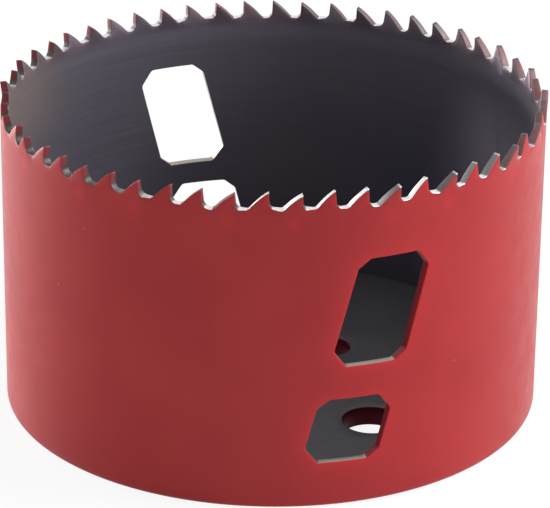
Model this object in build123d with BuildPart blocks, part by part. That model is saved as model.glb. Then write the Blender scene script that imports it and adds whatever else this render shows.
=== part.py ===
from build123d import *

import os
from math import cos, degrees, pi, radians, sin, tan

# Cup-type hole saw, standing on its backing plate with the teeth up.
# Frame: origin in the middle of the plate's outer face, +Z along the arbor
# axis towards the teeth, with the two stacks of chip slots facing -Y and +Y.
# All lengths are in millimetres and all angles in degrees.

# Band: a toothed strip rolled into a ring and butt-welded
band_diameter = 82.0
band_thickness = 1.4
saw_height = 49.2
foot_radius = 0.8

# Teeth: milled into the strip's upper edge, then set in a five-tooth cycle.
# The strip isn't a whole number of pitches long, so one gullet at the weld is longer.
tooth_pitch = 4.74
gullet_depth = 2.7
gullet_radius = 1.0
heel_radius = 0.8
rake_angle = -2.0
back_angle = 50.0
relief_angle = 32.0
tip_land = 0.08
tooth_set = 0.4
bend_above_gullet = 0.25
root_gap = 0.5
weld_angle = 97.5
first_tooth_from_weld = 2.4
set_cycle = (1, -1, 1, -1, 0)
gullet_rises = (0.15, 0.3, 0.3, 0.15, 0.0)

# Chip slots: slanted, in two stacks, each split by a bridge. The second stack's
# slots are punched a little taller, which leaves it the narrower bridge.
stack_spacing = 128.2
slot_width = 11.4
slot_lean = 15.0
slot_acute_cut = 2.5
slot_obtuse_cut = 1.5
slot_corner_radius = 0.8
slot_base_height = 7.1
lower_slot_heights = (10.0, 11.4)
slot_bridges = (5.0, 3.7)
upper_slot_heights = (16.4, 17.0)

# Backing plate: disc welded into the foot of the band
plate_thickness = 3.0
plate_fit = 0.05
weld_prep = 0.5
thread_minor_diameter = 14.6
thread_mouth = 0.5
pin_circle_diameter = 24.0
pin_hole_diameter = 6.5
pin_hole_count = 2
pin_line_angle = 109.5
knockout_diameter = 8.6
knockout_radius = 23.6
knockout_count = 2
knockout_line_angle = 20.2

cut_margin = 1.0

band_radius = band_diameter / 2
bore_radius = band_radius - band_thickness
strip_length = pi * band_diameter
tooth_count = int(strip_length / tooth_pitch)
weld_span = strip_length - (tooth_count - 1) * tooth_pitch
pitch_angle = degrees(tooth_pitch / band_radius)
bend_height = saw_height - gullet_depth + max(gullet_rises) + bend_above_gullet
slot_middle = slot_base_height + (lower_slot_heights[0] + slot_bridges[0] + upper_slot_heights[0]) / 2
stack_angles = (0, degrees(stack_spacing / band_radius))


def bearing(angle):
    """Plan angle from +X of a place turned anticlockwise from -Y by angle."""
    return angle - 90


def unrolled(arc, height, radius):
    """Point in the plane y = -radius, seen from the axis through a strip point."""
    return (radius * tan(arc / band_radius), height)


def radial_cutter(outline, inner, outer, corner_radius=0):
    """Cutter with walls square to the band, from an outline on the flat strip.

    The outline is a list of lines (two points) and arcs (three points), whose
    corners are rounded where a corner radius is given.
    """
    with BuildPart() as cutter:
        for radius in (inner, outer):
            with BuildSketch(Plane.XZ.offset(radius)) as face:
                with BuildLine():
                    for piece in outline:
                        points = [unrolled(arc, z, radius) for arc, z in piece]
                        if len(points) == 2:
                            Line(*points)
                        else:
                            ThreePointArc(*points)
                make_face()
                if corner_radius:
                    fillet(face.vertices(), corner_radius)
        loft(ruled=True)
    return cutter.part


def gullet_outline(rise, span):
    """Gullet between a tip at arc 0 and the next tip at arc span, its floor raised by rise.

    The rake face meets the floor in one arc. Behind the floor a smaller arc turns up
    into the next tooth's back, which is one shallow arc that ends at its tip.
    """
    floor = saw_height - gullet_depth + rise
    rake = radians(rake_angle)
    drop = gullet_depth - rise - gullet_radius
    centre = (gullet_radius / cos(rake) - drop * tan(rake), floor + gullet_radius)
    rake_end = (centre[0] - gullet_radius * cos(rake), centre[1] - gullet_radius * sin(rake))
    half_turn = radians(90 - rake_angle) / 2
    rake_mid = (
        centre[0] - gullet_radius * sin(half_turn),
        centre[1] - gullet_radius * cos(half_turn),
    )

    # Back of the next tooth, from its tip down to where the heel's arc begins
    tip = (span - tip_land, saw_height)
    heel_turn = radians(back_angle)
    climb = gullet_depth - rise - heel_radius * (1 - cos(heel_turn))
    chord_slope = radians(back_angle + relief_angle) / 2
    chord = climb / sin(chord_slope)
    back_start = (tip[0] - chord * cos(chord_slope), tip[1] - climb)
    bulge = chord / 2 * tan(radians(back_angle - relief_angle) / 4)
    back_mid = (
        (back_start[0] + tip[0]) / 2 - bulge * sin(chord_slope),
        (back_start[1] + tip[1]) / 2 + bulge * cos(chord_slope),
    )
    heel_start = (back_start[0] - heel_radius * sin(heel_turn), floor)
    heel_mid = (
        heel_start[0] + heel_radius * sin(heel_turn / 2),
        floor + heel_radius * (1 - cos(heel_turn / 2)),
    )

    above = saw_height + cut_margin
    return [
        [(0, saw_height), rake_end],
        [rake_end, rake_mid, (centre[0], floor)],
        [(centre[0], floor), heel_start],
        [heel_start, heel_mid, back_start],
        [back_start, back_mid, tip],
        [tip, (tip[0], above)],
        [(tip[0], above), (0, above)],
        [(0, above), (0, saw_height)],
    ]


def slot_outline(base, height):
    """Slanted slot with its four corners cut off."""
    corners = []
    for side, z, cut in (
        (-1, base, slot_acute_cut),
        (1, base, slot_obtuse_cut),
        (1, base + height, slot_acute_cut),
        (-1, base + height, slot_obtuse_cut),
    ):
        arc = side * slot_width / 2 + (z - slot_middle) * tan(radians(slot_lean))
        corners.append((Vector(arc, z), cut))

    # Each corner becomes two points, one on each of its edges
    points = []
    for number, (corner, cut) in enumerate(corners):
        for other, _ in (corners[number - 1], corners[(number + 1) % len(corners)]):
            point = corner + (other - corner).normalized() * cut
            points.append((point.X, point.Y))
    return [[here, there] for here, there in zip(points, points[1:] + points[:1])]


def tooth_blank(lean):
    """Sector of band above the bend line, leaning outward (1), inward (-1) or not."""
    back_arc = -(tooth_pitch - blank_front - root_gap)
    shift = lean * tooth_set
    with BuildPart() as blank:
        with BuildSketch(Plane.XZ):
            with BuildLine():
                Polyline(
                    (bore_radius, bend_height),
                    (band_radius, bend_height),
                    (band_radius + shift, saw_height),
                    (bore_radius + shift, saw_height),
                    close=True,
                )
            make_face()
        sector = degrees((blank_front - back_arc) / band_radius)
        revolve(axis=Axis.Z, revolution_arc=sector)
    return blank.part.rotate(Axis.Z, degrees(back_arc / band_radius))


# Arc from a tip to the front of its blank, which ends above the gullet floor
blank_front = gullet_radius - root_gap / 2

first_tooth_angle = weld_angle + degrees(first_tooth_from_weld / band_radius)
tip_angles = [
    bearing(first_tooth_angle + pitch_angle * number) for number in range(tooth_count)
]
cycle = len(set_cycle)


def turned(angles):
    """Locations that turn a piece about the arbor axis."""
    return [Location((0, 0, 0), (0, 0, angle)) for angle in angles]


# The band with its teeth is one piece of steel
with BuildPart() as saw_shell:
    with BuildSketch(Plane.XZ):
        with BuildLine():
            Polyline(
                (bore_radius, 0),
                (band_radius, 0),
                (band_radius, bend_height),
                (bore_radius, bend_height),
                close=True,
            )
        profile = make_face()
        foot_corner = profile.vertices().group_by(Axis.Y)[0].sort_by(Axis.X)[-1]
        fillet(foot_corner, foot_radius)
    revolve(axis=Axis.Z)

    # Tooth blanks, in the set cycle that starts at the weld
    for lean in sorted(set(set_cycle)):
        angles = [a for n, a in enumerate(tip_angles) if set_cycle[n % cycle] == lean]
        with Locations(*turned(angles)):
            add(tooth_blank(lean))

    # Gullets, milled through band and blanks
    inner = bore_radius - tooth_set - cut_margin
    outer = band_radius + tooth_set + cut_margin
    spans = [tooth_pitch] * (tooth_count - 1) + [weld_span]
    gullets = [(gullet_rises[n % cycle], span) for n, span in enumerate(spans)]
    for rise, span in sorted(set(gullets)):
        angles = [a + 90 for n, a in enumerate(tip_angles) if gullets[n] == (rise, span)]
        with Locations(*turned(angles)):
            add(radial_cutter(gullet_outline(rise, span), inner, outer), mode=Mode.SUBTRACT)

    # Chip slots
    inner = bore_radius - cut_margin
    outer = band_radius + cut_margin
    for stack_angle, lower_height, bridge, upper_height in zip(
        stack_angles, lower_slot_heights, slot_bridges, upper_slot_heights
    ):
        upper_base = slot_base_height + lower_height + bridge
        for base, height in ((slot_base_height, lower_height), (upper_base, upper_height)):
            slot = radial_cutter(slot_outline(base, height), inner, outer, slot_corner_radius)
            with Locations(*turned([stack_angle])):
                add(slot, mode=Mode.SUBTRACT)

# Backing plate with the arbor thread's bore, drive-pin holes and knock-out holes
with BuildPart() as backing_plate:
    with BuildSketch():
        Circle(bore_radius - plate_fit)
    extrude(amount=plate_thickness)
    foot_edge = backing_plate.edges().group_by(Axis.Z)[0]
    chamfer(foot_edge, weld_prep)
    Hole(thread_minor_diameter / 2)
    mouths = backing_plate.edges().filter_by(
        lambda edge: edge.geom_type == GeomType.CIRCLE
        and abs(edge.radius - thread_minor_diameter / 2) < 1e-6
    )
    chamfer(mouths, thread_mouth)
    with PolarLocations(pin_circle_diameter / 2, pin_hole_count, bearing(pin_line_angle)):
        Hole(pin_hole_diameter / 2)
    with PolarLocations(knockout_radius, knockout_count, bearing(knockout_line_angle)):
        Hole(knockout_diameter / 2)

saw_shell.part.label = "saw_shell"
backing_plate.part.label = "backing_plate"

os.makedirs("parts", exist_ok=True)
export_step(saw_shell.part, "parts/saw_shell.step")
export_step(backing_plate.part, "parts/backing_plate.step")

print("teeth", tooth_count, "arc across the weld", round(weld_span, 3))
print("saw shell", round(saw_shell.part.volume, 1), "solids", len(saw_shell.part.solids()))
print("backing plate", round(backing_plate.part.volume, 1))
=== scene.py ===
from math import cos, pi, radians, sin, sqrt, tan

import bmesh
import bpy
import numpy as np
from mathutils import Matrix, Vector
from mathutils.geometry import delaunay_2d_cdt


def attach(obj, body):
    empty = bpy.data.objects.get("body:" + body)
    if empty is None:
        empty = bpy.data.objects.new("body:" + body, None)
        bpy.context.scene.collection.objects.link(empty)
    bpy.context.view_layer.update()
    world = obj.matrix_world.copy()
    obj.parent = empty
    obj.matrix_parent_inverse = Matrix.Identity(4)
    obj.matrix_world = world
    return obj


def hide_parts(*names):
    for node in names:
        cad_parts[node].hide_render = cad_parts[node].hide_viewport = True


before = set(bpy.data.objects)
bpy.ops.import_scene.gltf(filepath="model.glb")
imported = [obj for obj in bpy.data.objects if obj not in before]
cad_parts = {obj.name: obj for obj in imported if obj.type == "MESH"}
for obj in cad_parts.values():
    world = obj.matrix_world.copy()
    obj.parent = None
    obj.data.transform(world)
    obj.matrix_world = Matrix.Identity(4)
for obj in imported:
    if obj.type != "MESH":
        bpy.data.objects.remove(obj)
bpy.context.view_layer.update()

# A cup-type hole saw: the painted band with its set teeth, the threaded backing plate and
# the weld between them. Sizes are in millimetres and angles in degrees, as in the part's
# source; meshes are made in metres. A place on the band is (arc, height, depth): arc runs
# round the outer face from the weld, anticlockwise from above, and depth runs inward.
MM = 0.001

band_diameter = 82.0
band_thickness = 1.4
saw_height = 49.2
foot_radius = 0.8

tooth_pitch = 4.74
gullet_depth = 2.7
gullet_radius = 1.0
heel_radius = 0.8
rake_angle = -2.0
back_angle = 50.0
relief_angle = 32.0
tip_land = 0.08
tooth_set = 0.4
weld_angle = 97.5
first_tooth_from_weld = 2.4
set_cycle = (1, -1, 1, -1, 0)
gullet_rises = (0.15, 0.3, 0.3, 0.15, 0.0)

stack_spacing = 128.2
slot_width = 11.4
slot_lean = 15.0
slot_acute_cut = 2.5
slot_obtuse_cut = 1.5
slot_corner_radius = 0.8
slot_base_height = 7.1
lower_slot_heights = (10.0, 11.4)
slot_bridges = (5.0, 3.7)
upper_slot_heights = (16.4, 17.0)

plate_thickness = 3.0
weld_prep = 0.5
thread_minor_diameter = 14.6
thread_major_diameter = 15.875
thread_pitch = 25.4 / 18
pin_circle_diameter = 24.0
pin_hole_diameter = 6.5
pin_hole_count = 2
pin_line_angle = 109.5
knockout_diameter = 8.6
knockout_radius = 23.6
knockout_count = 2
knockout_line_angle = 20.2

# Only in this script: how the steel's edges, bends and welds look close up
edge_round = 0.07
slot_edge_round = 0.12
hole_edge_round = 0.15
plate_edge_round = 0.05
bend_start = 1.2
bend_share = 0.45
set_change_start = 0.15
set_change_reach = 1.7
thinned_below_teeth = 0.2
thinned_at_tips = 0.4
thinning_reach = 4.0
roll_over = 0.06
roll_over_reach = 0.6
seam_width = 0.9
seam_raise = 0.03
seam_bead = 0.12
seam_ripple = 0.8
seam_ripple_share = 0.25
seam_below_floor = 0.3
plate_gap = 0.02
thread_flank_angle = 30.0
thread_crest_share = 0.125
thread_mouth_margin = 0.1
foot_weld_ripple = 0.9
foot_weld_ripple_height = 0.03

# Section of the weld in the foot, out from the bore and up; its first points are rippled
foot_weld_section = (
    (-0.57, 0.12),
    (-0.45, 0.06),
    (-0.25, 0.02),
    (-0.05, 0.06),
    (0.08, 0.12),
    (0.0, 0.45),
    (-0.3, 0.45),
)
foot_weld_rippled = 5
foot_weld_crown = -0.25
foot_weld_lag_reach = 0.3

# Where the paint gathers and the painted highlights lie, in which directions the rim is bare, and
# where the inside has a painted warm sheen
view_angle = -20.0
bare_sector_angle = 5.0
# Direction of the painted warm sheen inside
stain_angle = -118.0
# Reach of the halo of gathered paint and painted highlight at the slots
halo_start = 0.1
halo_reach = 1.3
# Place of the painted highlight of the bend under teeth set outward
under_tip = 1.0
under_tip_drop = 4.5
under_tip_reach = 1.1
spray_edge_reach = 0.5

# Each fade is where a share begins to grow and how far on it is whole. Facings are parts of
# a wall's unit normal. Right, left, near and far are sines and cosines round the rim.
rake_facing = (0.6, 0.35)
back_facing = (0.2, 0.3)
gullet_floor_facing = (0.7, 0.25)
slot_floor_facing = (0.8, 0.15)
slot_side_facing = (0.3, 0.4)
rake_paint_heights = (saw_height - 1.9, 0.8)
tip_paint_heights = (saw_height - 0.25, 0.1)
spray_heights = (saw_height - 4.5, 4.0)
# Height and direction of the painted warm sheen inside
stain_heights = (30.0, 12.0)
stain_directions = (0.88, 0.12)
painted_directions = (-0.885, 0.05)
# Where the teeth's walls take a painted darker reflection, with thin paint
outward_dulled_right = (0.2, 0.25)
all_dulled_right = (0.55, 0.12)
more_paint_right = (0.7, 0.2)
far_dulled_right = (-0.1, 0.3)
back_paint_left = (-0.1, 0.5)
tip_paint_left = (-0.5, 1.0)
# Where the near left of the rim takes a painted darker reflection
dim_left = (0.3, 0.3)
dim_near = (0.0, 0.3)
dulled_far = (0.0, 0.2)

# How strong each of these is where its fades are whole
# Dimming here is a painted darker reflection on the teeth's walls
right_dulling = 0.9
far_dulling = 0.85
back_paint, back_paint_more = 0.3, 0.65
dulled_paint, dulled_paint_more = 0.15, 0.3
far_dulled_paint = 0.36
inner_rake_paint_lost = 0.8
dulled_shine_lost = 0.95
tip_shine_lost = 0.9

# How finely the meshes are divided
edge_step = 0.3
slot_edge_step = 0.6
gullet_arc_steps = 12
heel_arc_steps = 8
back_arc_steps = 10
slot_corner_steps = 5
strip_columns = 260
foot_rounding_angles = (12, 25, 40, 52, 63, 75, 90)
first_row = 1.8
row_step = 1.0
fine_rows_below_floor = 3
row_step_between = 0.6
fine_row_step = 0.5
grid_clearance = 0.32
row_clearance = 0.3
ring_gaps = (0.2, 0.35, 0.65, 1.0, 1.5, 2.1)
seam_reach = 1.8
seam_clearance = 2
seam_column_count = 13
seam_row_step = 0.25
rim_count, bore_count, hole_count = 240, 120, 64
plate_grid_step = 2.0
plate_grid_clearance = 0.8
plate_grid_margin = 1
thread_rows = 59
foot_weld_steps = 1680
triangulation_tolerance = 1e-5
least_area = 1e-9
merge_distance = 2e-6

# Material slots of the band, and of the plate, which has the same paint first
OUTER_PAINT, INNER_STEEL, MILLED_EDGE, PUNCHED_EDGE = range(4)
PLATE_STEEL, HOLE_PAINT, THREAD_STEEL = range(1, 4)

# Materials of the seven strips of a wall, from the band's outer face to its inner face
tooth_strips = [MILLED_EDGE] * 5 + [INNER_STEEL] * 2
slot_strips = [OUTER_PAINT] * 2 + [PUNCHED_EDGE] * 5
foot_strips = [OUTER_PAINT] * 7

band_radius = band_diameter / 2
bore_radius = band_radius - band_thickness
strip_length = pi * band_diameter
tooth_count = int(strip_length / tooth_pitch)
weld_span = strip_length - (tooth_count - 1) * tooth_pitch
cycle = len(set_cycle)
gullet_floor = saw_height - gullet_depth
first_stack_height = lower_slot_heights[0] + slot_bridges[0] + upper_slot_heights[0]
slot_middle = slot_base_height + first_stack_height / 2
thread_mouth_radius = thread_major_diameter / 2 + thread_mouth_margin
shoulder = 1 - sqrt(0.5)

# The strip is laid flat from a cut in the long gullet at the weld
last_tip = first_tooth_from_weld + (tooth_count - 1) * tooth_pitch
cut_after_tip = 2.0
cut_clearance = 0.1
strip_start = last_tip + cut_after_tip - strip_length
strip_end = strip_start + strip_length


# ---------------------------------------------------------------- outlines
def arc_points(centre, radius, start, end, steps):
    """Points on an arc from angle start to angle end, both ends included."""
    angles = [radians(start + (end - start) * k / steps) for k in range(steps + 1)]
    return [(centre[0] + radius * cos(a), centre[1] + radius * sin(a)) for a in angles]


def line_points(start, end, step):
    """Points along a straight edge, without its last point."""
    across, up = end[0] - start[0], end[1] - start[1]
    count = max(1, round(sqrt(across**2 + up**2) / step))
    return [(start[0] + across * k / count, start[1] + up * k / count) for k in range(count)]


def circle(centre, radius, count):
    """Points round a circle, anticlockwise."""
    turns = [2 * pi * k / count for k in range(count)]
    return [(centre[0] + radius * cos(a), centre[1] + radius * sin(a)) for a in turns]


def gullet_points(rise, span):
    """Edge of the strip from a tip at arc 0 to the back of the next tip at arc span."""
    floor = gullet_floor + rise
    rake = radians(rake_angle)
    drop = gullet_depth - rise - gullet_radius
    centre = (gullet_radius / cos(rake) - drop * tan(rake), floor + gullet_radius)
    rake_arc = arc_points(centre, gullet_radius, 180 + rake_angle, 270, gullet_arc_steps)

    tip = (span - tip_land, saw_height)
    climb = gullet_depth - rise - heel_radius * (1 - cos(radians(back_angle)))
    slope = radians(back_angle + relief_angle) / 2
    chord = climb / sin(slope)
    heel_end = (tip[0] - chord * cos(slope), tip[1] - climb)
    heel_centre = (heel_end[0] - heel_radius * sin(radians(back_angle)), floor + heel_radius)
    heel_arc = arc_points(heel_centre, heel_radius, 270, 270 + back_angle, heel_arc_steps)

    back_radius = chord / 2 / sin(radians(back_angle - relief_angle) / 2)
    back_centre = (
        tip[0] + back_radius * sin(radians(relief_angle)),
        tip[1] - back_radius * cos(radians(relief_angle)),
    )
    back_ends = (90 + back_angle, 90 + relief_angle)
    back_arc = arc_points(back_centre, back_radius, *back_ends, back_arc_steps)
    floor_line = line_points(rake_arc[-1], heel_arc[0], edge_step)
    rake_line = line_points((-tip_land / 2, saw_height), rake_arc[0], edge_step)
    return rake_line + rake_arc[:-1] + floor_line + heel_arc + back_arc[1:-1]


def toothed_edge():
    """Upper edge of the whole strip, from cut to cut."""
    points = []
    for number in range(tooth_count - 1):
        tip = first_tooth_from_weld + number * tooth_pitch
        gullet = gullet_points(gullet_rises[number % cycle], tooth_pitch)
        points += [(tip + s, z) for s, z in gullet]

    # The cut goes through the floor of the last gullet
    gullet = gullet_points(gullet_rises[(tooth_count - 1) % cycle], weld_span)
    floor = min(z for s, z in gullet)
    before = [(last_tip + s, z) for s, z in gullet if s < cut_after_tip - cut_clearance]
    after = [
        (last_tip + s - strip_length, z)
        for s, z in gullet
        if s > cut_after_tip + cut_clearance
    ]
    return [(strip_start, floor)] + after + points + before + [(strip_end, floor)]


def slot_points(base, height):
    """Slanted slot with its corners cut off and rounded, anticlockwise."""
    corners = []
    for side, z, cut in (
        (-1, base, slot_acute_cut),
        (1, base, slot_obtuse_cut),
        (1, base + height, slot_acute_cut),
        (-1, base + height, slot_obtuse_cut),
    ):
        arc = side * slot_width / 2 + (z - slot_middle) * tan(radians(slot_lean))
        corners.append((Vector((arc, z)), cut))
    ends = []
    for number, (corner, cut) in enumerate(corners):
        for other, _ in (corners[number - 1], corners[(number + 1) % len(corners)]):
            ends.append(corner + (other - corner).normalized() * cut)

    # Each end is rounded by an arc that touches both of its edges
    rounded = []
    for number, end in enumerate(ends):
        back = (ends[number - 1] - end).normalized()
        ahead = (ends[(number + 1) % len(ends)] - end).normalized()
        half = back.angle(ahead) / 2
        centre = end + (back + ahead).normalized() * slot_corner_radius / sin(half)
        start = end + back * slot_corner_radius / tan(half) - centre
        for k in range(slot_corner_steps + 1):
            turned = Matrix.Rotation((pi - 2 * half) * k / slot_corner_steps, 2) @ start
            rounded.append(tuple(centre + turned))
    points = []
    for here, there in zip(rounded, rounded[1:] + rounded[:1]):
        points += line_points(here, there, slot_edge_step)
    return points


def slot_loops():
    """Outlines of the four chip slots, the lower one of each stack first."""
    loops = []
    for stack in range(2):
        centre = stack * stack_spacing - radians(weld_angle) * band_radius
        centre = (centre - strip_start) % strip_length + strip_start
        upper_base = slot_base_height + lower_slot_heights[stack] + slot_bridges[stack]
        for base, height in (
            (slot_base_height, lower_slot_heights[stack]),
            (upper_base, upper_slot_heights[stack]),
        ):
            loops.append([(centre + s, z) for s, z in slot_points(base, height)])
    return loops


def normals(points, closed):
    """Unit normals to the left of a path, mitred so that offsets keep their distance."""
    path = np.array(points)
    if closed:
        before, after = np.roll(path, 1, 0), np.roll(path, -1, 0)
    else:
        before = np.vstack([2 * path[0] - path[1], path[:-1]])
        after = np.vstack([path[1:], 2 * path[-1] - path[-2]])
    quarter_turn = np.array([[0, 1], [-1, 0]])
    legs = []
    for leg in (path - before, after - path):
        legs.append(leg / np.linalg.norm(leg, axis=1)[:, None] @ quarter_turn)
    total = legs[0] + legs[1]
    total /= np.linalg.norm(total, axis=1)[:, None]
    sharpest = 0.35
    stretch = np.clip((total * legs[0]).sum(1), sharpest, 1)
    return total / stretch[:, None]


def facings(points, closed):
    """Along and upward parts of the unit normals to the left of a path."""
    mitred = normals(points, closed)
    return (mitred / np.linalg.norm(mitred, axis=1)[:, None]).T


def inside(points, loop):
    """Which points lie inside a closed loop."""
    loop = [tuple(corner) for corner in loop]
    x, y = points[:, 0], points[:, 1]
    hit = np.zeros(len(points), dtype=bool)
    for (x0, y0), (x1, y1) in zip(loop, loop[1:] + loop[:1]):
        if y0 == y1:
            continue
        crosses = (y0 > y) != (y1 > y)
        hit ^= crosses & (x < (x1 - x0) * (y - y0) / (y1 - y0) + x0)
    return hit


def gap_to(points, targets):
    """Distance from each point to the nearest target."""
    result = np.full(len(points), np.inf)
    at_once = 2000
    for k in range(0, len(points), at_once):
        part = points[k:k + at_once, None]
        near = np.hypot(part[..., 0] - targets[None, :, 0], part[..., 1] - targets[None, :, 1])
        result[k:k + at_once] = near.min(1)
    return result


def triangulated(points, edges, holes):
    """Triangles between flat points that keep the given edges and leave the holes open.

    Returns the points, the triangles and where each given point is among the points.
    """
    vectors = [Vector(p) for p in points]
    result = delaunay_2d_cdt(vectors, edges, [], 1, triangulation_tolerance)
    flat = np.array([tuple(v) for v in result[0]])
    faces = np.array([f for f in result[2] if len(f) == 3])
    origin = {source: index for index, sources in enumerate(result[3]) for source in sources}
    middles = flat[faces].mean(1)
    solid = np.ones(len(faces), dtype=bool)
    for hole in holes:
        solid &= ~inside(middles, hole)
    faces = faces[solid]
    a, b, c = flat[faces[:, 0]], flat[faces[:, 1]], flat[faces[:, 2]]
    area = (b - a)[:, 0] * (c - a)[:, 1] - (b - a)[:, 1] * (c - a)[:, 0]
    faces[area < 0] = faces[area < 0][:, ::-1]
    return flat, faces[np.abs(area) > least_area], origin


# ---------------------------------------------------------------- the band's bends
def smooth(t):
    """Ease from 0 to 1 as t goes from 0 to 1."""
    t = np.clip(t, 0, 1)
    return t * t * (3 - 2 * t)


def fade(value, start, reach):
    """Share that is 0 up to start and grows smoothly to 1 over reach."""
    return smooth((value - start) / reach)


def set_of(arc):
    """Share of the set at an arc: each tooth's own, changing over inside the gullets."""
    along = (np.asarray(arc) - first_tooth_from_weld) % strip_length
    number = np.minimum(np.floor(along / tooth_pitch), tooth_count - 1).astype(int)
    past = along - number * tooth_pitch
    sets = np.array([set_cycle[n % cycle] for n in range(tooth_count)], dtype=float)
    here, there = sets[number], sets[(number + 1) % tooth_count]
    span = np.where(number == tooth_count - 1, weld_span, tooth_pitch)
    blend = fade(past, set_change_start, span - tooth_pitch + set_change_reach)
    return here * (1 - blend) + there * blend


def bend(height):
    """How far out a set tooth stands at a height, as a share of its tip, and the slope."""
    reach = gullet_depth + bend_start
    t = np.clip((np.asarray(height) - saw_height) / reach + 1, 0, 1)
    full = 1 - bend_share / 2
    share = np.where(t < bend_share, t * t / (2 * bend_share), t - bend_share / 2) / full
    slope = np.minimum(t / bend_share, 1) / full / reach
    return share, slope


def place(arc, height, depth):
    """Points in space, in metres, of places on the band."""
    arc, height, depth = (np.asarray(v, dtype=float) for v in (arc, height, depth))
    share, slope = bend(height)
    lean = set_of(arc) * tooth_set
    radius = band_radius - depth + lean * share
    tilt = lean * slope
    half = band_thickness / 2
    height = height - tilt * (half - depth) - np.abs(tilt) * half
    angle = radians(weld_angle - 90) + arc / band_radius
    return np.stack([radius * np.cos(angle), radius * np.sin(angle), height], -1) * MM


def foot_pull(height):
    """Depth of the outer face where the foot is rounded."""
    below = np.clip(foot_radius - np.asarray(height, dtype=float), 0, foot_radius)
    return foot_radius - np.sqrt(foot_radius**2 - below**2)


def thinning(height):
    """How much thinner the band is towards its toothed edge, where its inside is ground."""
    above_floor = np.asarray(height, dtype=float) - saw_height + gullet_depth
    below = thinned_below_teeth * smooth(above_floor / thinning_reach + 1)
    return below + (thinned_at_tips - thinned_below_teeth) * smooth(above_floor / gullet_depth)


def seam(arc, height):
    """How proud the weld stands of the outer and of the inner face."""
    rising = smooth(height - foot_radius) * smooth(gullet_floor - seam_below_floor - height)
    hump = rising * np.exp(-((arc / seam_width) ** 2))
    ripple = 1 + seam_ripple_share * np.sin(2 * pi * (height + arc**2) / seam_ripple)
    return seam_raise * hump, seam_bead * hump * ripple


def rolled(spots, slot_edges):
    """How far each spot is rolled in towards a slot's edge, and its share of the halo of gathered
    paint with a painted highlight.
    """
    gap = gap_to(spots, slot_edges)
    halo = np.exp(-np.maximum(gap - halo_start, 0) / halo_reach)
    return roll_over * np.exp(-gap / roll_over_reach), halo


# ---------------------------------------------------------------- saw band
def slot_wall_shares(outline):
    """Paint, its share left at the inner face, and brightness of a slot's walls.

    The upper walls and the ones that face back along the strip are painted; the floors and the
    walls that face forward along it are bare.
    """
    along, up = facings(outline, True)
    bare = np.maximum(fade(up, *slot_floor_facing), fade(along, *slot_side_facing))
    return 1 - bare, np.ones(len(up)), np.ones(len(up))


def tooth_wall_shares(outline):
    """Paint, its share left at the inner face, and the painted reflection brightness of the teeth's
    walls.

    The rake faces are painted, thinly at their inner edge. The backs are painted too,
    but for a sector of the rim, and the gullet floors are bare.
    """
    along, up = facings(outline, False)
    arcs, heights = np.array(outline).T
    rake = fade(along, *rake_facing) * fade(heights, *rake_paint_heights)
    back = fade(-along, *back_facing)
    tip = fade(heights, *tip_paint_heights)

    # Directions as seen from the side where the chip slots are: to its right, and near
    turn = arcs / band_radius + radians(weld_angle - view_angle)
    right, near = np.sin(turn), np.cos(turn)
    far = fade(-near, *dulled_far)
    from_sector = np.cos(turn + radians(view_angle - bare_sector_angle))
    painted = fade(-from_sector, *painted_directions)
    # Painted darker reflection on the near left of the rim
    dim_near_left = fade(near, *dim_near) * fade(-right, *dim_left)

    # Painted darker reflection, with thin paint, on the outward teeth first, then on all towards
    # the right and the far side
    outward = np.clip(set_of(arcs), 0, 1) * fade(right, *outward_dulled_right)
    thin_paint_and_dimming = np.maximum(outward, fade(right, *all_dulled_right) * right_dulling)
    thin_paint_and_dimming = np.maximum(thin_paint_and_dimming, far * fade(right, *far_dulled_right) * far_dulling)
    thin_paint_and_dimming = back * np.maximum(thin_paint_and_dimming, painted)

    back_share = back_paint + back_paint_more * fade(-right, *back_paint_left)
    dulled_share = dulled_paint + dulled_paint_more * fade(right, *more_paint_right)
    paint = np.maximum(rake, back * painted * back_share)
    paint = np.maximum(paint, thin_paint_and_dimming * dulled_share)
    paint = np.maximum(paint, thin_paint_and_dimming * far * far_dulled_paint)
    paint = np.maximum(paint, tip * painted * fade(-right, *tip_paint_left))

    # Painted reflection: bright where a wall faces up, darker on dimmed backs, on the near left and
    # at painted tips
    shine = fade(up, *gullet_floor_facing)
    shine = np.where(along > 0, shine, 1 - dulled_shine_lost * thin_paint_and_dimming)
    shine = (shine - shine * dim_near_left) * (1 - tip_shine_lost * tip * painted)
    return paint, 1 - inner_rake_paint_lost * rake, shine


def strip_rows():
    """Heights of the rows of points on the flat strip, finer at the foot and the teeth."""
    rows = [foot_radius * (1 - cos(radians(a))) for a in foot_rounding_angles[1:]]
    rows += list(np.arange(first_row, gullet_floor - fine_rows_below_floor, row_step))
    return rows + list(np.arange(rows[-1] + row_step_between, saw_height, fine_row_step))


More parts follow.
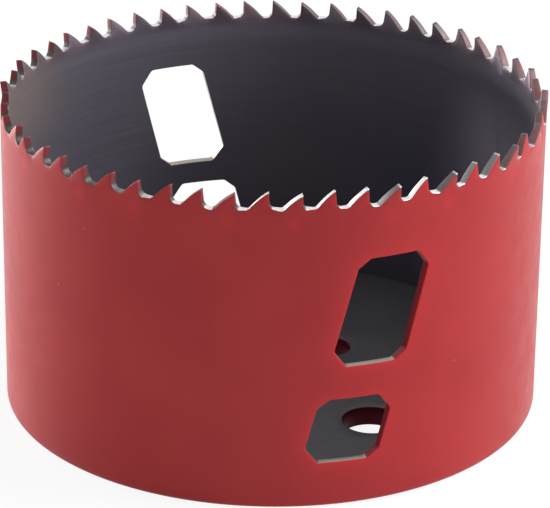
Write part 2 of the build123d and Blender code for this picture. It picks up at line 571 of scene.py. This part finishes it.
def strip_filling(rows, top_in, slots, slots_in):
    """Points inside the strip: rings round each slot, for its rolled edge, and a grid."""
    step = strip_length / strip_columns
    grid = []
    for row, z in enumerate(rows):
        shift = 0.5 if row % 2 else 0.0
        grid += [(strip_start + step * (k + shift), z) for k in range(strip_columns) if k + shift]
    grid = np.array(grid)
    off_edges = gap_to(grid, np.vstack([top_in] + slots_in)) > grid_clearance
    off_seam = np.abs(grid[:, 0]) > seam_clearance * seam_width
    below_foot = -1.0
    outline = list(top_in) + [(strip_end, below_foot), (strip_start, below_foot)]
    keep = off_edges & off_seam & inside(grid, outline)
    for loop in slots_in:
        keep &= ~inside(grid, loop)
    grid = grid[keep]

    rings = np.vstack([
        np.array(loop) - normals(loop, True) * gap
        for loop in slots
        for gap in ring_gaps
    ])
    grid = grid[gap_to(grid, rings) > row_clearance]
    columns = np.linspace(-seam_reach, seam_reach, seam_column_count) * seam_width
    seam_rows = np.arange(foot_radius, gullet_floor - seam_below_floor, seam_row_step)
    weld = [np.column_stack([columns, 0 * columns + z]) for z in seam_rows]
    return np.vstack([rings, grid] + weld)


def chain_edges(start, count):
    """Edges that join points in a row."""
    return [(start + k, start + k + 1) for k in range(count - 1)]


def flat_strip(top_in, bottom_in, slots, slots_in):
    """The strip laid flat, as triangles, and where each edge's points are among its points."""
    rows = strip_rows()
    starts, points = [], []
    for chain in [top_in, bottom_in] + slots_in:
        starts.append(len(points))
        points += [tuple(p) for p in chain]
    side_rows = [z for z in rows if z < top_in[0][1] - row_clearance]
    left = len(points)
    points += [(strip_start, z) for z in side_rows]
    right = len(points)
    points += [(strip_end, z) for z in side_rows]
    points += [tuple(p) for p in strip_filling(rows, top_in, slots, slots_in)]

    edges = chain_edges(starts[0], len(top_in)) + chain_edges(starts[1], len(bottom_in))
    edges += chain_edges(left, len(side_rows)) + chain_edges(right, len(side_rows))
    edges += [(starts[1], left), (left + len(side_rows) - 1, starts[0])]
    edges += [
        (starts[1] + strip_columns, right),
        (right + len(side_rows) - 1, starts[0] + len(top_in) - 1),
    ]
    for start, loop in zip(starts[2:], slots_in):
        edges += chain_edges(start, len(loop)) + [(start + len(loop) - 1, start)]
    return *triangulated(points, edges, slots_in), starts


def shell_mesh():
    """The band: two faces cut from one flat triangulation, and a wall round each edge."""
    top, slots = toothed_edge(), slot_loops()
    step = strip_length / strip_columns
    bottom = [(strip_start + step * k, 0.0) for k in range(strip_columns + 1)]

    # The faces stop short of each edge, where its wall begins with a rounded corner
    top_in = np.array(top) - normals(top, False) * edge_round
    top_in[0][0], top_in[-1][0] = strip_start, strip_end
    foot_rise = foot_radius * (1 - cos(radians(foot_rounding_angles[0])))
    bottom_in = np.array(bottom) + np.array([0, foot_rise])
    slots_in = [np.array(loop) - normals(loop, True) * slot_edge_round for loop in slots]
    flat, faces, origin, starts = flat_strip(top_in, bottom_in, slots, slots_in)
    slot_edges = np.vstack([np.array(loop) for loop in slots])

    coords, face_list, materials = [], [], []
    layers = {"halo": [], "cover": [], "shine": [], "spray": [], "stain": []}

    def add_points(spots, depth, **values):
        """Add places on the band, with what is given of their layers, and return the first."""
        start = len(coords)
        coords.extend(place(spots[:, 0], spots[:, 1], depth))
        for key, layer in layers.items():
            layer.extend(values.get(key, 0.0) + np.zeros(len(spots)))
        return start

    # Outer face: the paint is brightest at the slots, where it gathers under a painted highlight,
    # and has a painted highlight of the bend under teeth set outward
    arcs, heights = flat.T
    roll, glow = rolled(flat, slot_edges)
    below_tip = heights - saw_height
    half_pitch = tooth_pitch / 2
    past_tip = (arcs - first_tooth_from_weld + under_tip + half_pitch) % tooth_pitch - half_pitch
    # Painted highlight of the bend a little under each tooth set outward
    bend_highlight = np.maximum(set_of(arcs + under_tip), 0)
    drop = (below_tip + under_tip_drop) / under_tip_reach
    bend_highlight *= np.exp(-(drop**2) - (past_tip / under_tip_reach) ** 2)
    outer_seam, inner_seam = seam(arcs, heights)
    outer_depth = foot_pull(heights) + roll - outer_seam
    outer = add_points(flat, outer_depth, halo=np.maximum(glow, bend_highlight), cover=1.0)

    # Inner face: spray drifted over the teeth, and one side has a painted warm sheen high up
    spray = fade(heights, *spray_heights)
    spray += np.exp(-gap_to(flat, np.array(top)) / spray_edge_reach)
    from_stain = np.cos(arcs / band_radius + radians(weld_angle - stain_angle))
    stain = fade(from_stain, *stain_directions) * fade(heights, *stain_heights)
    inner_depth = band_thickness - thinning(heights) + inner_seam
    inner = add_points(flat, inner_depth, spray=np.clip(spray, 0, 1), stain=stain)

    face_list += [[outer + i for i in face] for face in faces]
    face_list += [[inner + i for i in face[::-1]] for face in faces]
    materials += [OUTER_PAINT] * len(faces) + [INNER_STEEL] * len(faces)

    def wall(true, start, rounding, strips, closed, flip):
        """Join the outer and inner faces round one edge, with rounded corners."""
        count = len(true)
        shares = slot_wall_shares if closed else tooth_wall_shares
        paint, inner_share, shine = shares(true)
        true = np.array(true)
        inset = flat[[origin[start + k] for k in range(count)]]
        roll, glow = rolled(true, slot_edges)
        sink = foot_pull(true[:, 1]) + (roll if closed else 0)
        level = band_thickness - thinning(true[:, 1])
        middle = (sink + level) / 2
        between = true + (inset - true) * shoulder
        ring_specs = [
            (between, sink + rounding * shoulder, 1.0),
            (true, sink + rounding, 1.0),
            (true, middle, 1.0),
            (true, middle + (level - middle) * 0.5, 0.5),
            (true, level - rounding, 0.0),
            (between, level - rounding * shoulder, 0.0),
        ]
        rings = [[outer + origin[start + k] for k in range(count)]]
        for spots, depth, outer_share in ring_specs:
            cover = paint * (outer_share + (1 - outer_share) * inner_share)
            first = add_points(spots, depth, halo=glow, cover=cover, shine=shine)
            rings.append([first + k for k in range(count)])
        rings.append([inner + origin[start + k] for k in range(count)])
        last = count if closed else count - 1
        for upper, lower, material in zip(rings, rings[1:], strips):
            for k in range(last):
                n = (k + 1) % count
                quad = [upper[k], upper[n], lower[n], lower[k]]
                face_list.append(quad[::-1] if flip else quad)
                materials.append(material)

    wall(top, starts[0], edge_round, tooth_strips, False, False)
    wall(bottom, starts[1], edge_round, foot_strips, False, True)
    for start, loop in zip(starts[2:], slots):
        wall(loop, start, slot_edge_round, slot_strips, True, False)
    return coords, face_list, materials, layers


# ---------------------------------------------------------------- backing plate
def plain_holes():
    """Centre and radius of each drive-pin hole and knock-out hole."""
    holes = []
    for line, count, reach, diameter in (
        (pin_line_angle, pin_hole_count, pin_circle_diameter / 2, pin_hole_diameter),
        (knockout_line_angle, knockout_count, knockout_radius, knockout_diameter),
    ):
        for k in range(count):
            plan = radians(line - 90 + 360 * k / count)
            holes.append(((reach * cos(plan), reach * sin(plan)), diameter / 2))
    return holes


def thread_radius(angle, height):
    """Radius of the arbor thread's surface, with a countersunk mouth at each face."""
    depth = (thread_major_diameter - thread_minor_diameter) / 2
    crest = thread_crest_share
    flank = depth * tan(radians(thread_flank_angle)) / thread_pitch
    turn = (height / thread_pitch - angle / (2 * pi)) % 1
    turns = [0, crest, crest + flank, 1 - crest - flank, 1 - crest, 1]
    root = np.interp(turn, turns, [0, 0, 1, 1, 0, 0])
    mouth = thread_mouth_radius - np.minimum(height, plate_thickness - height)
    return np.maximum(thread_minor_diameter / 2 + depth * root, mouth)


def plate_mesh():
    """The plate: two flat faces from one triangulation, and a wall round each edge."""
    outer_radius = bore_radius - plate_gap
    face_radius = outer_radius - weld_prep
    loops = [
        circle((0, 0), face_radius, rim_count),
        circle((0, 0), thread_mouth_radius, bore_count),
    ]
    for centre, radius in plain_holes():
        loops.append(circle(centre, radius + hole_edge_round, hole_count))
    grid = []
    first_ring = thread_mouth_radius + plate_grid_step
    for radius in np.arange(first_ring, face_radius - plate_grid_margin, plate_grid_step):
        grid += circle((0, 0), radius, int(2 * pi * radius / plate_grid_step))
    grid = np.array(grid)
    keep = gap_to(grid, np.vstack(loops)) > plate_grid_clearance
    for loop in loops[1:]:
        keep &= ~inside(grid, loop)

    points, edges, starts = [], [], []
    for loop in loops:
        start = len(points)
        starts.append(start)
        points += loop
        edges += [(start + k, start + (k + 1) % len(loop)) for k in range(len(loop))]
    points += [tuple(p) for p in grid[keep]]
    flat, faces, origin = triangulated(points, edges, loops[1:])

    coords = [Vector((x, y, 0)) * MM for x, y in flat]
    top_start = len(coords)
    coords += [Vector((x, y, plate_thickness)) * MM for x, y in flat]
    face_list = [list(face[::-1]) for face in faces]
    face_list += [[top_start + i for i in face] for face in faces]
    materials = [OUTER_PAINT] * len(faces) + [PLATE_STEEL] * len(faces)

    def wall(start, count, centre, rings, material, inward):
        """Stack rings of points from the lower face's loop to the upper face's."""
        lower = [origin[start + k] for k in range(count)]
        stack = [lower]
        for radii, height in rings:
            first = len(coords)
            for (x, y), radius in zip(circle((0, 0), 1, count), radii + np.zeros(count)):
                spot = (centre[0] + radius * x, centre[1] + radius * y, height)
                coords.append(Vector(spot) * MM)
            stack.append([first + k for k in range(count)])
        stack.append([top_start + i for i in lower])
        for below, above in zip(stack, stack[1:]):
            for k in range(count):
                n = (k + 1) % count
                quad = [below[k], below[n], above[n], above[k]]
                face_list.append(quad[::-1] if inward else quad)
                materials.append(material)

    # Rim, which runs up to the upper face, so that face's outer loop moves out to it
    thick = plate_thickness
    rim = [(outer_radius, weld_prep), (outer_radius, thick - plate_edge_round)]
    wall(starts[0], rim_count, (0, 0), rim, OUTER_PAINT, False)
    for i in [origin[starts[0] + k] for k in range(rim_count)]:
        coords[top_start + i].xy *= (outer_radius - plate_edge_round) / face_radius

    angles = np.arange(bore_count) * 2 * pi / bore_count
    heights = np.linspace(0, thick, thread_rows + 2)[1:-1]
    threads = [(thread_radius(angles, z), z) for z in heights]
    wall(starts[1], bore_count, (0, 0), threads, THREAD_STEEL, True)

    rounding = hole_edge_round * shoulder
    for start, (centre, radius) in zip(starts[2:], plain_holes()):
        rings = [
            (radius + rounding, rounding),
            (radius, hole_edge_round),
            (radius, thick / 2),
            (radius, thick - hole_edge_round),
            (radius + rounding, thick - rounding),
        ]
        wall(start, hole_count, centre, rings, HOLE_PAINT, True)
    return coords, face_list, materials, {}


def foot_weld_mesh():
    """Ring of weld in the groove between plate and band, with the ripples of its run."""
    ripples = round(2 * pi * bore_radius / foot_weld_ripple)
    count = len(foot_weld_section)
    coords, faces = [], []
    for k in range(foot_weld_steps):
        angle = 2 * pi * k / foot_weld_steps
        for number, (out, height) in enumerate(foot_weld_section):
            lag = ((out - foot_weld_crown) / foot_weld_lag_reach) ** 2
            if number < foot_weld_rippled:
                height += foot_weld_ripple_height * (1 + sin(ripples * angle - lag))
            radius = bore_radius + out
            coords.append(Vector((radius * cos(angle), radius * sin(angle), height)) * MM)
    for k in range(foot_weld_steps):
        here, there = k * count, (k + 1) % foot_weld_steps * count
        for n in range(count):
            m = (n + 1) % count
            faces.append([here + n, there + n, there + m, here + m])
    return coords, faces, [OUTER_PAINT] * len(faces), {}


def mesh_object(name, parts, finishes):
    """Make one smooth-shaded piece, with its materials and its point attributes."""
    coords, faces, materials, layers = parts
    mesh = bpy.data.meshes.new(name)
    mesh.from_pydata([tuple(c) for c in coords], [], [tuple(int(i) for i in f) for f in faces])
    for finish in finishes:
        mesh.materials.append(finish)
    mesh.polygons.foreach_set("material_index", materials)
    for key, values in layers.items():
        layer = mesh.attributes.new(key, "FLOAT", "POINT")
        layer.data.foreach_set("value", [float(v) for v in values])
    work = bmesh.new()
    work.from_mesh(mesh)
    bmesh.ops.remove_doubles(work, verts=work.verts, dist=merge_distance)
    work.to_mesh(mesh)
    work.free()
    mesh.update()
    mesh.shade_smooth()
    piece = bpy.data.objects.new(name, mesh)
    bpy.context.scene.collection.objects.link(piece)
    return piece


# ---------------------------------------------------------------- materials
# Where a Mix node keeps its colours
FIRST_COLOUR, SECOND_COLOUR, MIXED_COLOUR = 6, 7, 2


class Finish:
    """A material and short calls for the nodes that make it."""

    def __init__(self, name, metallic=0.0, specular=0.5):
        self.material = bpy.data.materials.new(name)
        self.material.use_nodes = True
        self.tree = self.material.node_tree
        self.shader = self.tree.nodes["Principled BSDF"]
        self.shader.inputs["Metallic"].default_value = metallic
        self.shader.inputs["Specular IOR Level"].default_value = specular
        self.coordinates = self.node("TexCoord").outputs["Object"]

    def feed(self, socket, value):
        """Link another socket to a socket, or set its value."""
        if isinstance(value, bpy.types.NodeSocket):
            self.tree.links.new(value, socket)
        else:
            socket.default_value = value

    def node(self, kind, inputs=None, **settings):
        """Add a node with its settings and inputs."""
        node = self.tree.nodes.new("ShaderNode" + kind)
        for key, value in settings.items():
            setattr(node, key, value)
        for key, value in (inputs or {}).items():
            self.feed(node.inputs[key], value)
        return node

    def set(self, name, value):
        """Feed one of the shader's own inputs."""
        self.feed(self.shader.inputs[name], value)

    def blend(self, factor, first, second):
        """Colour between two colours."""
        inputs = {0: factor, FIRST_COLOUR: first, SECOND_COLOUR: second}
        return self.node("Mix", inputs, data_type="RGBA").outputs[MIXED_COLOUR]

    def math(self, operation, first, second):
        """Result of an operation on two values."""
        return self.node("Math", {0: first, 1: second}, operation=operation).outputs[0]

    def scale_vector(self, vector, factors):
        """Vector multiplied part by part."""
        inputs = {0: vector, 1: factors}
        return self.node("VectorMath", inputs, operation="MULTIPLY").outputs[0]

    def ramp(self, value, low, high, start=0.0, end=1.0):
        """Value mapped from low and high to start and end, and held beyond them."""
        inputs = {"Value": value, "From Min": low, "From Max": high, "To Min": start, "To Max": end}
        return self.node("MapRange", inputs).outputs[0]

    def spread(self, noise, start=0.0, end=1.0):
        """Noise mapped to start and end from the range that nearly all of it lies in."""
        return self.ramp(noise, 0.3, 0.7, start, end)

    def noise(self, scale, detail=3.0, stretch=None):
        """Cloudy pattern, its scale multiplied by a stretch along each axis."""
        vector = self.coordinates
        if stretch:
            vector = self.scale_vector(vector, stretch)
        inputs = {"Vector": vector, "Scale": scale, "Detail": detail}
        return self.node("TexNoise", inputs).outputs[0]

    def layer(self, name):
        """One of the mesh's point attributes."""
        return self.node("Attribute", attribute_name=name).outputs["Fac"]

    def specks(self, scale, size, rarity):
        """Small round spots in a few of the cells of a pattern."""
        cells = self.node("TexVoronoi", {"Vector": self.coordinates, "Scale": scale})
        chance = self.node("SeparateColor", {0: cells.outputs["Color"]}).outputs[0]
        spot = self.ramp(cells.outputs["Distance"], size, size / 2)
        chosen = self.ramp(chance, rarity, rarity + 0.01)
        return self.math("MULTIPLY", spot, chosen)

    def bump(self, height, distance, strength=0.5):
        """Fine relief of a depth in millimetres."""
        inputs = {"Height": height, "Distance": distance * MM, "Strength": strength}
        self.set("Normal", self.node("Bump", inputs).outputs[0])


def red_paint():
    """Gloss paint: cloudy, finely pebbled, brighter where it gathers at an edge, with a painted
    highlight there and under teeth set outward.
    """
    deep, light = (0.315, 0.014, 0.017, 1), (0.350, 0.018, 0.020, 1)
    # Colour of the halo: gathered paint with a painted highlight
    halo_and_highlight_colour, halo_and_highlight_share = (0.47, 0.018, 0.024, 1), 0.6
    dusty, dust_share = (0.55, 0.24, 0.22, 1), 0.4
    fine_pebble_share = 0.35

    finish = Finish("red_paint", specular=0.25)
    clouds = finish.noise(70, 4)
    colour = finish.blend(finish.ramp(clouds, 0.35, 0.65), deep, light)
    # Painted highlight, with gathered paint, from the halo layer
    edge = finish.math("MULTIPLY", finish.layer("halo"), halo_and_highlight_share)
    colour = finish.blend(edge, colour, halo_and_highlight_colour)
    specks = finish.specks(420, size=0.09, rarity=0.93)
    dust = finish.math("MULTIPLY", specks, dust_share)
    colour = finish.blend(dust, colour, dusty)
    finish.set("Base Color", colour)
    finish.set("Roughness", finish.spread(finish.noise(300, 3), 0.34, 0.44))
    pebble = finish.noise(900, 2)
    fine_pebble = finish.math("MULTIPLY", finish.noise(3500, 2), fine_pebble_share)
    finish.bump(finish.math("ADD", pebble, fine_pebble), 0.012)
    return finish.material


def rolled_steel():
    """Inside of the band: dark oxide with faint lines round it and warmer stains, painted shade
    darker towards the bottom, and a painted warm sheen high on one side.
    """
    cool, warm = (0.105, 0.096, 0.132, 1), (0.135, 0.118, 0.138, 1)
    line, line_share = (0.085, 0.080, 0.105, 1), 0.18
    # Painted shade lower down the inside of the cup
    deep, shade_share = (0.060, 0.056, 0.082, 1), 0.38
    oversprayed, spray_shares = (0.14, 0.060, 0.065, 1), (0.25, 0.6)
    # Painted warm sheen high on one side of the inside
    stained = (0.175, 0.135, 0.133, 1)
    shade_from, shade_below = 42 * MM, 26 * MM

    finish = Finish("rolled_steel", metallic=0.45, specular=0.4)
    lines = finish.noise(1.0, 3, stretch=(40, 40, 2600))
    stains = finish.noise(45, 4)
    colour = finish.blend(finish.spread(stains), cool, warm)
    colour = finish.blend(finish.ramp(lines, 0.35, 0.75, 0.0, line_share), colour, line)
    # Painted shade: darker towards the bottom of the inside
    height = finish.node("SeparateXYZ", {0: finish.coordinates}).outputs[2]
    depth = finish.ramp(height, shade_from, shade_below, 0.0, shade_share)
    colour = finish.blend(depth, colour, deep)
    spray = finish.layer("spray")
    patchy = finish.ramp(stains, 0.35, 0.65, *spray_shares)
    colour = finish.blend(finish.math("MULTIPLY", spray, patchy), colour, oversprayed)
    # Painted warm sheen, from its layer
    colour = finish.blend(finish.layer("stain"), colour, stained)
    finish.set("Base Color", colour)
    finish.set("Roughness", finish.spread(lines, 0.40, 0.55))
    finish.bump(finish.math("ADD", lines, finish.noise(2500, 3)), 0.006, strength=0.6)
    return finish.material


def cut_steel(name, pale, dull, dark, paint, grain):
    """Wall of a cut edge: bare steel with the tool's marks and a painted reflection, painted where
    the spray came.
    """
    bare_metallic = 0.9
    dull_roughness, bright_roughness, mark_roughness = 0.55, 0.3, 0.12

    finish = Finish(name, specular=0.35)
    marks = finish.noise(1.0, 2, grain)
    patches = finish.noise(500, 3)
    steel = finish.blend(finish.spread(marks), dull, pale)
    # Painted reflection: bare steel goes to the dark colour where the painted shine is low
    steel = finish.blend(finish.layer("shine"), dark, steel)
    cover = finish.layer("cover")
    raggedness = finish.ramp(patches, 0.2, 0.8, -0.25, 0.25)
    cover = finish.ramp(finish.math("ADD", cover, raggedness), 0.25, 0.75)
    finish.set("Base Color", finish.blend(cover, steel, paint))
    finish.set("Metallic", finish.ramp(cover, 0.0, 1.0, bare_metallic, 0.0))
    rough = finish.spread(marks, 0.0, mark_roughness)
    base = finish.ramp(finish.layer("shine"), 0, 1, dull_roughness, bright_roughness)
    finish.set("Roughness", finish.math("ADD", rough, base))
    finish.bump(marks, 0.008)
    return finish.material


def plate_steel():
    """Inner face of the plate: grey sheet steel, turned rings and faint stains."""
    grey, warm = (0.115, 0.110, 0.120, 1), (0.150, 0.144, 0.146, 1)
    ring, ring_share = (0.09, 0.088, 0.095, 1), 0.15
    ring_scale = 2600

    finish = Finish("plate_steel", metallic=0.5, specular=0.4)
    across = finish.scale_vector(finish.coordinates, (1, 1, 0))
    radius = finish.node("VectorMath", {0: across}, operation="LENGTH").outputs["Value"]
    inputs = {"W": finish.math("MULTIPLY", radius, ring_scale), "Scale": 1.0}
    rings = finish.node("TexNoise", inputs, noise_dimensions="1D").outputs[0]
    stains = finish.noise(90, 4)
    colour = finish.blend(finish.spread(stains), grey, warm)
    colour = finish.blend(finish.ramp(rings, 0.35, 0.7, 0.0, ring_share), colour, ring)
    finish.set("Base Color", colour)
    finish.set("Roughness", finish.spread(rings, 0.42, 0.55))
    finish.bump(finish.math("ADD", rings, finish.noise(3000, 3)), 0.008)
    return finish.material


def hole_paint():
    """Paint inside the plate's holes, thinner and darker than on the band."""
    thin, thick = (0.09, 0.003, 0.009, 1), (0.13, 0.006, 0.014, 1)

    finish = Finish("hole_paint", specular=0.1)
    patches = finish.noise(600, 3)
    finish.set("Base Color", finish.blend(finish.spread(patches), thin, thick))
    finish.set("Roughness", finish.spread(patches, 0.4, 0.55))
    finish.bump(finish.noise(1800, 2), 0.01)
    return finish.material


def thread_steel():
    """Cut thread: bright flanks with dull patches."""
    dull, bright = (0.30, 0.29, 0.28, 1), (0.5, 0.49, 0.48, 1)

    finish = Finish("thread_steel", metallic=1.0)
    patches = finish.noise(800, 3)
    finish.set("Base Color", finish.blend(finish.spread(patches), dull, bright))
    finish.set("Roughness", finish.spread(patches, 0.28, 0.42))
    finish.bump(finish.noise(1.0, 2, stretch=(300, 300, 5000)), 0.006)
    return finish.material


# ---------------------------------------------------------------- pieces
paint = red_paint()
inner_steel = rolled_steel()
milled_edge = cut_steel(
    "milled_edge",
    pale=(0.86, 0.84, 0.84, 1),
    dull=(0.66, 0.64, 0.65, 1),
    # The dark colour is the steel's painted darker reflection
    dark=(0.098, 0.090, 0.089, 1),
    paint=(0.20, 0.026, 0.032, 1),
    grain=(4000, 4000, 300),
)
punched_edge = cut_steel(
    "punched_edge",
    pale=(0.36, 0.31, 0.265, 1),
    dull=(0.28, 0.24, 0.20, 1),
    # The dark colour is the steel's painted darker reflection
    dark=(0.12, 0.11, 0.12, 1),
    paint=(0.23, 0.017, 0.023, 1),
    grain=(2500, 2500, 500),
)

# The order of each piece's materials is that of the slots named at the top
band_finishes = [paint, inner_steel, milled_edge, punched_edge]
saw_band = mesh_object("saw_band", shell_mesh(), band_finishes)
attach(saw_band, "root")
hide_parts("saw_shell")

plate_finishes = [paint, plate_steel(), hole_paint(), thread_steel()]
plate = mesh_object("threaded_plate", plate_mesh(), plate_finishes)
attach(plate, "root")
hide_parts("backing_plate")

foot_weld = mesh_object("foot_weld", foot_weld_mesh(), [paint])
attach(foot_weld, "root")

# ---------------------------------------------------------------- camera
# Lens, axes and place, in metres, of the camera fitted to the photograph
camera_data = bpy.data.cameras.new("camera")
camera = bpy.data.objects.new("camera", camera_data)
bpy.context.scene.collection.objects.link(camera)
camera_data.sensor_width = 36.0
camera_data.lens = 205.56
camera_data.clip_start = 0.01
camera_right = Vector((0.94086882, -0.33860043, 0.01075297))
camera_up = Vector((0.12666761, 0.38105546, 0.91583407))
camera_forward = Vector((0.31419929, 0.86031767, -0.40141291))
camera_place = Vector((-0.15105397, -0.41501738, 0.21578362))
camera_turn = Matrix((camera_right, camera_up, -camera_forward)).transposed()
camera.matrix_world = Matrix.Translation(camera_place) @ camera_turn.to_4x4()
bpy.context.scene.camera = camera
bpy.context.scene.view_settings.view_transform = "Standard"


# ---------------------------------------------------------------- floor and light
def white_to_view(tree):
    """1 for the rays that should meet plain white: seen, mirrored or passed through."""
    rays = tree.nodes.new("ShaderNodeLightPath").outputs
    total = rays["Is Camera Ray"]
    for name in ("Is Glossy Ray", "Is Transmission Ray"):
        join = tree.nodes.new("ShaderNodeMath")
        join.operation = "MAXIMUM"
        tree.links.new(total, join.inputs[0])
        tree.links.new(rays[name], join.inputs[1])
        total = join.outputs[0]
    return total


def scaled(tree, value, low, high):
    """A value from 0 to 1 as one from low to high."""
    ramp = tree.nodes.new("ShaderNodeMapRange")
    tree.links.new(value, ramp.inputs["Value"])
    ramp.inputs["To Min"].default_value = low
    ramp.inputs["To Max"].default_value = high
    return ramp.outputs[0]


world_light = 0.48
world = bpy.data.worlds.new("studio")
bpy.context.scene.world = world
world.use_nodes = True
sky = world.node_tree.nodes["Background"]
sky.inputs["Color"].default_value = (1, 1, 1, 1)
strength = scaled(world.node_tree, white_to_view(world.node_tree), world_light, 1.0)
world.node_tree.links.new(strength, sky.inputs["Strength"])


def floor_material():
    """Matt white floor: white to the eye, with the object's shadow kept, softened."""
    shadow_kept = 0.1
    material = bpy.data.materials.new("floor_white")
    material.use_nodes = True
    tree = material.node_tree
    diffuse = tree.nodes["Principled BSDF"]
    diffuse.inputs["Base Color"].default_value = (0.92, 0.92, 0.92, 1)
    diffuse.inputs["Roughness"].default_value = 0.9
    diffuse.inputs["Specular IOR Level"].default_value = 0.1
    glow = tree.nodes.new("ShaderNodeEmission")
    mix = tree.nodes.new("ShaderNodeMixShader")
    tree.links.new(scaled(tree, white_to_view(tree), 0.0, 1 - shadow_kept), mix.inputs[0])
    tree.links.new(diffuse.outputs[0], mix.inputs[1])
    tree.links.new(glow.outputs[0], mix.inputs[2])
    tree.links.new(mix.outputs[0], tree.nodes["Material Output"].inputs["Surface"])
    return material


floor_reach, floor_level = 3.0, -0.0002
floor_mesh = bpy.data.meshes.new("floor")
corners = [
    (x * floor_reach, y * floor_reach, floor_level)
    for x, y in ((-1, -1), (1, -1), (1, 1), (-1, 1))
]
floor_mesh.from_pydata(corners, [], [(0, 1, 2, 3)])
floor_mesh.materials.append(floor_material())
floor = bpy.data.objects.new("floor", floor_mesh)
bpy.context.scene.collection.objects.link(floor)


def softbox(name, offset, size, power):
    """Area lamp of a width and height, offset from the saw's middle and turned to it.

    The offset is given to the camera's right, upward and forward, in metres.
    """
    data = bpy.data.lights.new(name, "AREA")
    data.shape = "RECTANGLE"
    data.size, data.size_y = size
    data.energy = power
    right, up, forward = offset
    middle = Vector((0, 0, saw_height / 2)) * MM
    away = camera_right * right + camera_up * up + camera_forward * forward
    lamp = bpy.data.objects.new(name, data)
    lamp.location = middle + away
    lamp.rotation_euler = (-away).to_track_quat("-Z", "Y").to_euler()
    bpy.context.scene.collection.objects.link(lamp)


# A key light high on the right, and a rim light behind on the left
softbox("key", (0.50, 0.35, -0.15), (0.36, 0.36), 5.2)
softbox("rim", (-0.50, 0.16, 0.33), (0.45, 0.16), 9.0)
